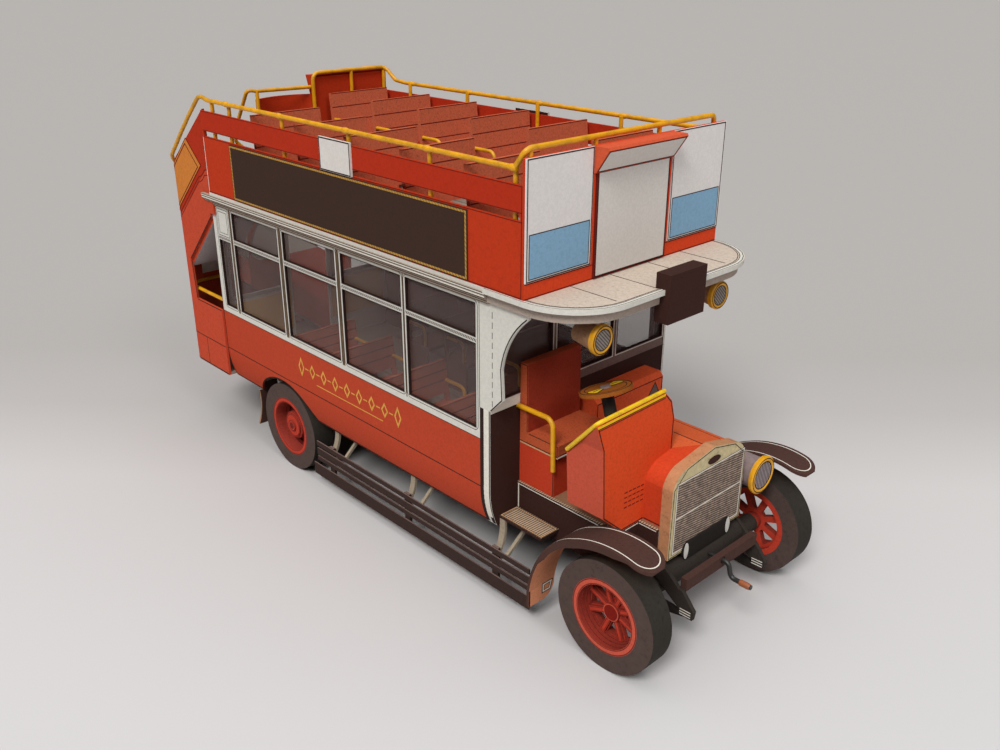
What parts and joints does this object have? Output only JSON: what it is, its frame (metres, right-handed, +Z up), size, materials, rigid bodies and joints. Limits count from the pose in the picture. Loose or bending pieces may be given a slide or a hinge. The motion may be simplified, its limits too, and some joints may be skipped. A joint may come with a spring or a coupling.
{
  "type": "open-top double-deck bus scale model",
  "caption": "Card scale model of a 1920s open-top double-deck bus with open rear stair, slatted seats, wire handrails and turning wheels.",
  "frame": {"origin": "on the floor under the middle of the model's box", "axes": "+X forward towards the radiator, +Y to the nearside (left), +Z up"},
  "size_m": [0.2723, 0.092, 0.1517],
  "materials": {
    "red_card": "matt printed card, red-orange",
    "cream_card": "matt printed card, white and grey",
    "brown_card": "matt printed card, dark brown",
    "black_card": "rolled and folded black card",
    "floor_card": "printed card, boarded grey-brown",
    "seat_card": "printed card, dull red slats",
    "grey_card": "printed card, stone grey",
    "wheel_card": "printed card, salmon red",
    "tyre_card": "layered card, brown-grey edge",
    "yellow_wire": "hand-painted yellow wire",
    "black_wire": "hand-painted black wire",
    "window_film": "smoky clear film",
    "advert_card": "printed boards, dark brown and white",
    "white_card": "white printed card"
  },
  "bodies": {
    "bus": {"offside_saloon_side": "red_card", "nearside_saloon_side": "red_card", "front_bulkhead": "brown_card", "rear_bulkhead": "cream_card", "window_film": "window_film", "saloon_floor": "floor_card", "rear_wheel_boxes": "floor_card", "platform_floor": "floor_card", "upper_deck_floor": "floor_card", "cornices": "cream_card", "canopy": "cream_card", "canopy_bracket": "cream_card", "offside_upper_panel": "red_card", "nearside_upper_panel": "red_card", "upper_front_panel": "red_card", "upper_rear_panel": "red_card", "advert_boards": "advert_card", "route_boards": "white_card", "destination_box": "white_card", "rear_stair_panel": "red_card", "staircase": "floor_card", "upper_deck_seats": "seat_card", "saloon_seats": "seat_card", "seat_handles": "yellow_wire", "offside_handrail": "yellow_wire", "nearside_handrail": "yellow_wire", "front_handrail": "yellow_wire", "stair_rails": "yellow_wire", "cab_floor": "floor_card", "cab_valances": "brown_card", "driver_seat": "seat_card", "nearside_locker": "red_card", "cab_dash": "red_card", "bonnet": "red_card", "radiator": "grey_card", "number_plate": "black_card", "steering_wheel_and_column": "brown_card", "cab_rails": "yellow_wire", "headlamp": "grey_card", "canopy_lamps": "grey_card", "route_box": "black_card", "chassis_frame": "black_card", "front_axle": "black_card", "rear_axle": "black_card", "leaf_springs": "black_card", "front_beam": "brown_card", "starting_handle": "black_wire", "front_mudguards": "brown_card", "side_guards": "brown_card", "guard_brackets": "grey_card", "rear_mudflaps": "brown_card"},
    "front_offside_road_wheel": {"front_offside_tyre": "tyre_card", "front_offside_wheel": "wheel_card"},
    "front_nearside_road_wheel": {"front_nearside_tyre": "tyre_card", "front_nearside_wheel": "wheel_card"},
    "rear_offside_road_wheel": {"rear_offside_tyre": "tyre_card", "rear_offside_wheel": "wheel_card"},
    "rear_nearside_road_wheel": {"rear_nearside_tyre": "tyre_card", "rear_nearside_wheel": "wheel_card"}
  },
  "joints": [
    {"name": "front_offside_spin", "type": "hinge", "parent": "bus", "child": "front_offside_road_wheel", "pos_m": [0.1135, -0.0382, 0.0184], "axis": [0, 1, 0], "continuous": true},
    {"name": "front_nearside_spin", "type": "hinge", "parent": "bus", "child": "front_nearside_road_wheel", "pos_m": [0.1135, 0.0382, 0.0184], "axis": [0, 1, 0], "continuous": true},
    {"name": "rear_offside_spin", "type": "hinge", "parent": "bus", "child": "rear_offside_road_wheel", "pos_m": [-0.057, -0.0382, 0.0184], "axis": [0, 1, 0], "continuous": true},
    {"name": "rear_nearside_spin", "type": "hinge", "parent": "bus", "child": "rear_nearside_road_wheel", "pos_m": [-0.057, 0.0382, 0.0184], "axis": [0, 1, 0], "continuous": true}
  ]
}
